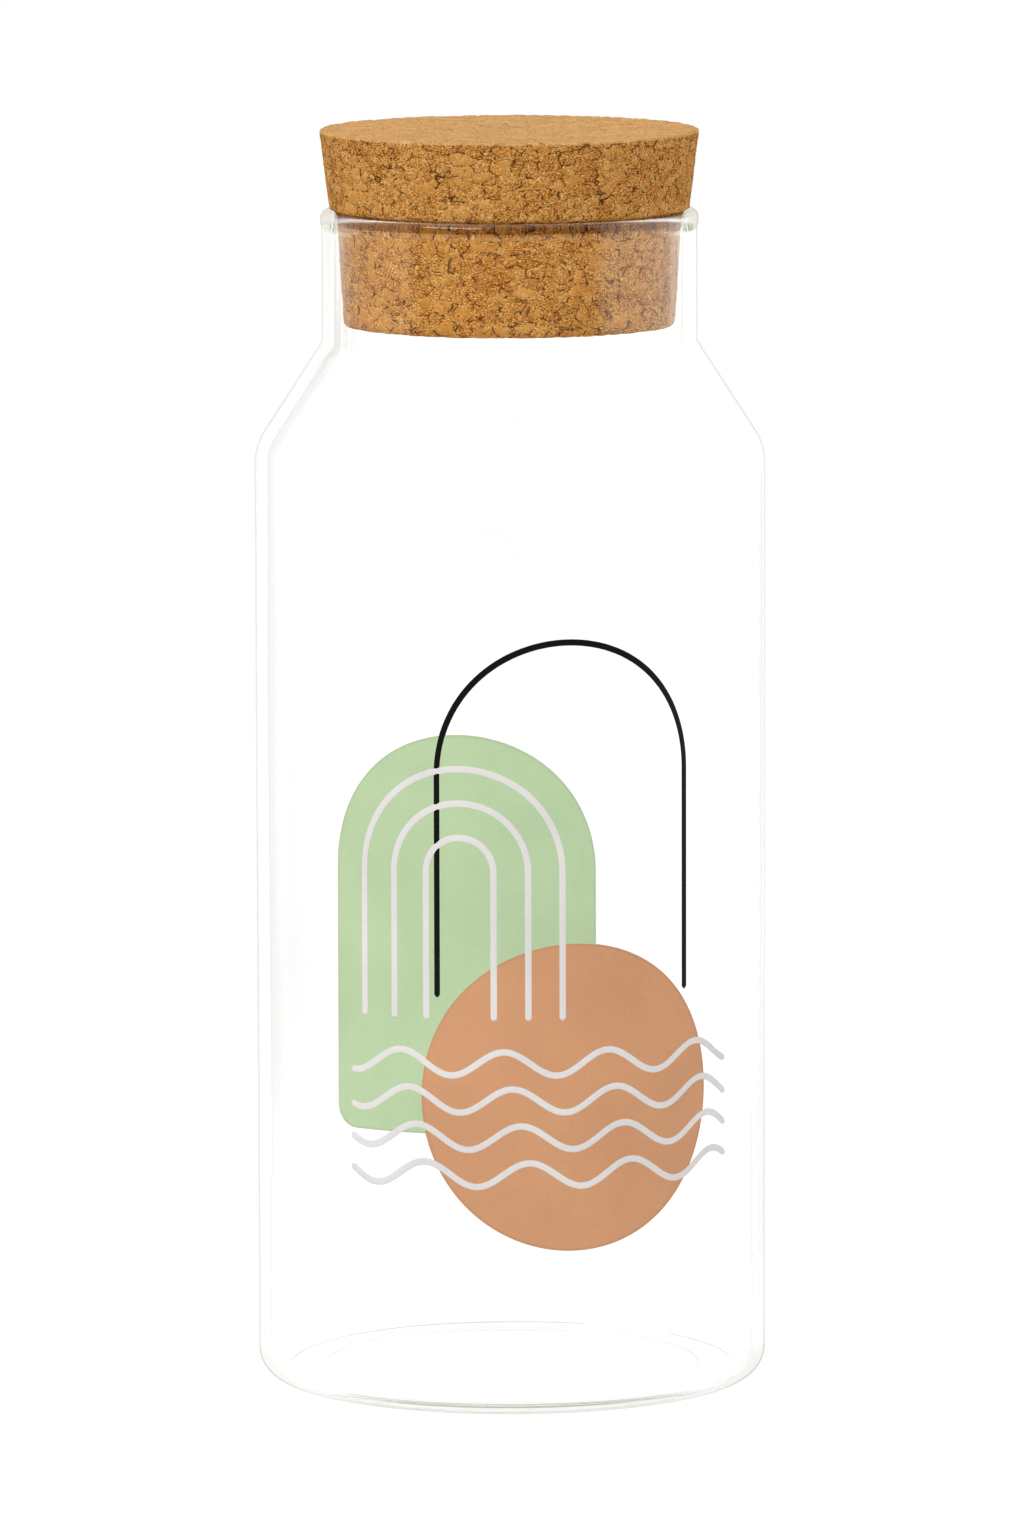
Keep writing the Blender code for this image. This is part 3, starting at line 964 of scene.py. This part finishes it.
def strokeGrid(path, coat):
    # A low rounded bead along the path: across it u = w/2 cos q and h = lift sin q^(1/2), flat below.
    # It narrows to round ends: w is scaled by sqrt(1 - (1 - d / r)^2) near each end.
    width, lift, sink = coat["width"], coat["lift"], coat["sink"]
    path = evenSteps(path, enamel["step"] / 2)
    ahead = unit(np.gradient(path, axis=0))
    left = np.column_stack([-ahead[:, 1], ahead[:, 0]])
    along = travelled(path)
    near = np.clip(np.minimum(along, along[-1] - along) / (width / 2), 0.02, 1.0)
    half = width / 2 * np.sqrt(1.0 - (1.0 - near) ** 2)
    turn = np.linspace(math.pi, 0.0, 9)
    sideways = np.concatenate([np.cos(turn), [0.6, 0.0, -0.6]])
    height = np.concatenate([np.sqrt(np.sin(turn).clip(0.0)), [0.0, 0.0, 0.0]])
    flat = path[:, None, :] - left[:, None, :] * (half[:, None] * sideways)[..., None]
    grid = onGlass(flat[..., 0], flat[..., 1], -sink + (lift + sink) * height)
    poles = [onGlass(*point, 0.0) for point in (path[0], path[-1])]
    return grid, poles, np.zeros(grid[..., 0].size + 2)


def archOutline():
    # Upright arch: two round foot corners and a half circle on top, counter-clockwise
    centre, half = enamel["archCentre"], enamel["archHalfWidth"]
    foot, spring, corner = enamel["archFoot"], enamel["archSpring"], enamel["archCorner"]
    outline = np.vstack([
        arcPoints((centre - half + corner, foot + corner), corner, math.pi, 1.5 * math.pi, 8),
        arcPoints((centre + half - corner, foot + corner), corner, -0.5 * math.pi, 0.0, 8),
        arcPoints((centre, spring), half, 0.0, math.pi, 60),
    ])
    return evenSteps(np.vstack([outline, outline[:1]]), enamel["step"])[:-1]


def archLine(centre, half, foot, spring):
    # Open arch line: up the left side, a half circle, and down the right side
    top = arcPoints((centre, spring), half, math.pi, 0.0, 60)
    return np.vstack([[(centre - half, foot)], top, [(centre + half, foot)]])


def waveLine(height, shift):
    # z = height + rise sin(2 pi s / length + shift)
    across = np.linspace(enamel["waveFrom"], enamel["waveTo"], 200)
    up = height + enamel["waveRise"] * np.sin(2 * math.pi * across / enamel["waveLength"] + shift)
    return np.column_stack([across, up])


def enamelCoat():
    # Node group shared by the four enamels: a colour that clouds slowly, a fine speckle, a darker
    # line where the coat ends, and a faint orange-peel surface
    coat, given, made = newGroup("Enamel coat", {"Colour": "Color", "Edge": "Float"},
                                 {"Coat colour": "Color", "Roughness": "Float", "Normal": "Vector"})
    place = objectPlace(coat)
    cloud = noiseNode(coat, place, enamel["cloud"])
    speck = noiseNode(coat, place, enamel["speck"], 2.0, 0.6)
    light = product(coat, rangeNode(coat, cloud, 0.3, 0.7, *enamel["cloudLight"]),
                    rangeNode(coat, speck, 0.35, 0.65, *enamel["speckLight"]),
                    oneMinus(coat, product(coat, given["Edge"], enamel["edgeShade"])))
    feedAll(coat, made, {
        "Coat colour": vectorNode(coat, "MULTIPLY", given["Colour"], light),
        "Roughness": rangeNode(coat, speck, 0.3, 0.7, *enamel["roughness"]),
        "Normal": bumpNode(coat, speck, enamel["bump"]),
    })
    return coat


def enamelMaterial(name, colour, coat):
    # Opaque satin coat
    material, tree, shader, output = newMaterial(name)
    made = groupNode(tree, coat, {"Colour": colour, "Edge": attributeNode(tree, "edge")})
    feedAll(tree, shader, {"Base Color": made["Coat colour"], "Roughness": made["Roughness"],
                           "Normal": made["Normal"], "Specular IOR Level": enamel["gloss"]})
    return material


def makeCoat(name, path, colour, materials):
    # Colours that have a width are drawn as strokes, the others as fills
    coat = enamel[colour]
    grid, poles, edge = strokeGrid(path, coat) if "width" in coat else fillGrid(path, coat)
    mesh = gridMesh(name, grid, poles)
    mesh.attributes.new("edge", "FLOAT", "POINT").data.foreach_set("value", edge)
    makeObject(name, mesh, materials[colour], "bottle")


def makePrint():
    coat = enamelCoat()
    materials = {}
    for name in ("green", "terracotta", "black", "white"):
        materials[name] = enamelMaterial(name.capitalize() + " enamel", enamel[name]["colour"], coat)
    makeCoat("enamel_green_arch", archOutline(), "green", materials)
    circle = arcPoints(enamel["discCentre"], enamel["discRadius"], 0.0, 2 * math.pi, 201)[:-1]
    makeCoat("enamel_terracotta_disc", circle, "terracotta", materials)
    makeCoat("enamel_black_arch_line", archLine(*enamel["lineArch"]), "black", materials)
    centre, half, spring = enamel["archCentre"], enamel["archHalfWidth"], enamel["archSpring"]
    for number, inset in enumerate(enamel["rainbowInsets"], 1):
        line = archLine(centre, half - inset, enamel["rainbowFoot"], spring)
        makeCoat(f"enamel_white_arc_{number}", line, "white", materials)
    for number, height in enumerate(enamel["waveHeights"], 1):
        line = waveLine(height, enamel["waveShift"] * number)
        makeCoat(f"enamel_white_wave_{number}", line, "white", materials)


bpy.context.scene.view_settings.view_transform = "Standard"
bpy.context.scene.cycles.max_bounces = 96  # light is turned many times inside the heel
bpy.context.scene.cycles.glossy_bounces = 64
bpy.context.scene.cycles.transmission_bounces = 64
bpy.context.scene.cycles.transparent_max_bounces = 32
setCamera()
room = roomLevel()
setWorld(room)
setFloor(room)
setLamps()
print("stage: camera, room, floor and softboxes are set")
makeGlass()
print("stage: the glass is blown")
makeCork()
print("stage: the cork is pressed")
makePrint()
print("stage: the enamel is printed")
